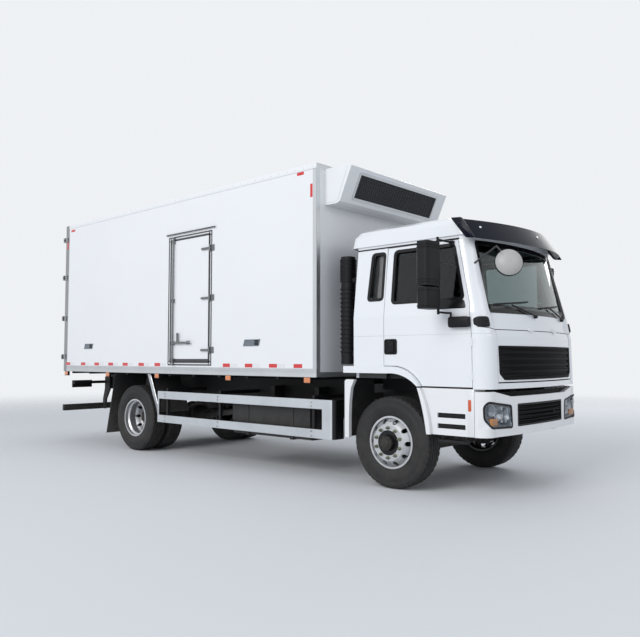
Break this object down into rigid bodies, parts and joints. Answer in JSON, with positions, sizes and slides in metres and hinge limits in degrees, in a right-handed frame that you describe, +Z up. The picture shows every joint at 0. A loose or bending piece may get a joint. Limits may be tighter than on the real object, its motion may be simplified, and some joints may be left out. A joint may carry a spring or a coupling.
{
  "type": "refrigerated truck",
  "caption": "White refrigerated truck with a short tilting cab, a smooth insulated box, a cooling unit over the cab, a side door and side guards.",
  "frame": {"origin": "on the ground, halfway along and across the truck", "axes": "+X to the front, +Y to the truck's left, +Z up"},
  "size_m": [8.826, 3.14, 3.91],
  "materials": {
    "cab_paint": "gloss",
    "panel_white": "gloss",
    "trim_aluminium": "satin",
    "stainless": "satin",
    "chassis_black": "satin",
    "guard_grey": "satin",
    "dark_plastic": "matte",
    "visor_plastic": "gloss",
    "unit_white": "satin",
    "unit_mesh": "matte",
    "wheel_silver": "satin",
    "tyre_rubber": "matte",
    "flap_rubber": "matte",
    "cast_parts": "matte",
    "window_glass": "clear",
    "lamp_glass": "clear",
    "seat_fabric": "woven",
    "cab_trim": "matte",
    "tank_aluminium": "satin"
  },
  "bodies": {
    "chassis": {"ladder_frame": "chassis_black", "front_axle": "cast_parts", "rear_axle": "cast_parts", "engine": "cast_parts", "radiator": "chassis_black", "propeller_shaft": "chassis_black", "fuel_tank": "tank_aluminium", "battery_and_air_tanks": "chassis_black", "exhaust": "cast_parts", "side_guards": "guard_grey", "underrun_bar": "chassis_black", "lamps": "dark_plastic", "mudguards": "flap_rubber", "box_floor": "trim_aluminium", "box_roof": "panel_white", "box_front_wall": "panel_white", "box_wall_right": "panel_white", "box_wall_left": "panel_white", "box_rear_frame": "stainless", "cooling_unit": "unit_white", "cooling_grille": "unit_mesh", "evaporator": "unit_white", "bumper": "cab_paint", "bumper_grille": "dark_plastic", "headlamps": "lamp_glass", "step_boxes": "cab_paint"},
    "steer_right": {"knuckle_right": "cast_parts"},
    "steer_left": {"knuckle_left": "cast_parts"},
    "tie_rod": {"tie_rod": "cast_parts"},
    "wheel_front_right": {"front_tyre_right": "tyre_rubber", "front_rim_right": "wheel_silver"},
    "wheel_front_left": {"front_tyre_left": "tyre_rubber", "front_rim_left": "wheel_silver"},
    "wheel_rear_right": {"rear_tyres_right": "tyre_rubber", "rear_rims_right": "wheel_silver"},
    "wheel_rear_left": {"rear_tyres_left": "tyre_rubber", "rear_rims_left": "wheel_silver"},
    "cab": {"cab_front": "cab_paint", "cab_sides": "cab_paint", "cab_rear_wall": "cab_paint", "cab_floor": "chassis_black", "cab_roof": "cab_paint", "cab_glass": "window_glass", "sun_visor": "visor_plastic", "dashboard": "cab_trim", "seats": "seat_fabric", "intake_stack": "dark_plastic", "kerb_mirror": "dark_plastic"},
    "front_lid": {"front_lid": "cab_paint", "front_grille": "dark_plastic"},
    "cab_door_right": {"cab_door_right": "cab_paint", "door_glass_right": "window_glass", "mirror_right": "dark_plastic"},
    "cab_door_left": {"cab_door_left": "cab_paint", "door_glass_left": "window_glass", "mirror_left": "dark_plastic"},
    "side_door": {"side_door": "panel_white"},
    "rear_door_right": {"rear_door_right": "panel_white"},
    "rear_door_left": {"rear_door_left": "panel_white"}
  },
  "joints": [
    {"name": "steer_right_joint", "type": "hinge", "parent": "chassis", "child": "steer_right", "pos_m": [2.933, -0.9, 0.52], "axis": [0, 0, 1], "range_deg": [-38, 38]},
    {"name": "steer_left_joint", "type": "hinge", "parent": "chassis", "child": "steer_left", "pos_m": [2.933, 0.9, 0.52], "axis": [0, 0, 1], "range_deg": [-38, 38]},
    {"name": "tie_rod_joint", "type": "slide", "parent": "chassis", "child": "tie_rod", "axis": [0, 1, 0], "range_m": [-0.105, 0.105]},
    {"name": "wheel_front_right_joint", "type": "hinge", "parent": "steer_right", "child": "wheel_front_right", "pos_m": [2.933, -1.019, 0.52], "axis": [0, 1, 0], "continuous": true},
    {"name": "wheel_front_left_joint", "type": "hinge", "parent": "steer_left", "child": "wheel_front_left", "pos_m": [2.933, 1.019, 0.52], "axis": [0, 1, 0], "continuous": true},
    {"name": "wheel_rear_right_joint", "type": "hinge", "parent": "chassis", "child": "wheel_rear_right", "pos_m": [-2.067, -1.108, 0.52], "axis": [0, 1, 0], "continuous": true},
    {"name": "wheel_rear_left_joint", "type": "hinge", "parent": "chassis", "child": "wheel_rear_left", "pos_m": [-2.067, 1.108, 0.52], "axis": [0, 1, 0], "continuous": true},
    {"name": "cab_tilt", "type": "hinge", "parent": "chassis", "child": "cab", "pos_m": [4.093, 0, 0.93], "axis": [0, 1, 0], "range_deg": [0, 45]},
    {"name": "front_lid_joint", "type": "hinge", "parent": "cab", "child": "front_lid", "pos_m": [4.249, 0, 1.773], "axis": [0, -1, 0], "range_deg": [0, 70]},
    {"name": "cab_door_right_joint", "type": "hinge", "parent": "cab", "child": "cab_door_right", "pos_m": [3.985, -1.143, 1.465], "axis": [0, 0, 1], "range_deg": [0, 70]},
    {"name": "cab_door_left_joint", "type": "hinge", "parent": "cab", "child": "cab_door_left", "pos_m": [3.985, 1.143, 1.465], "axis": [0, 0, -1], "range_deg": [0, 70]},
    {"name": "side_door_joint", "type": "hinge", "parent": "chassis", "child": "side_door", "pos_m": [-0.162, -1.27, 2.34], "axis": [0, 0, 1], "range_deg": [0, 170]},
    {"name": "rear_door_right_joint", "type": "hinge", "parent": "chassis", "child": "rear_door_right", "pos_m": [-4.401, -1.274, 2.575], "axis": [0, 0, 1], "range_deg": [0, 270]},
    {"name": "rear_door_left_joint", "type": "hinge", "parent": "chassis", "child": "rear_door_left", "pos_m": [-4.401, 1.274, 2.575], "axis": [0, 0, -1], "range_deg": [0, 270]}
  ],
  "couplings": [
    {"joint": "steer_left_joint", "follows": "steer_right_joint", "ratio": 1},
    {"joint": "tie_rod_joint", "follows": "steer_right_joint", "m_per_rad": -0.158}
  ]
}
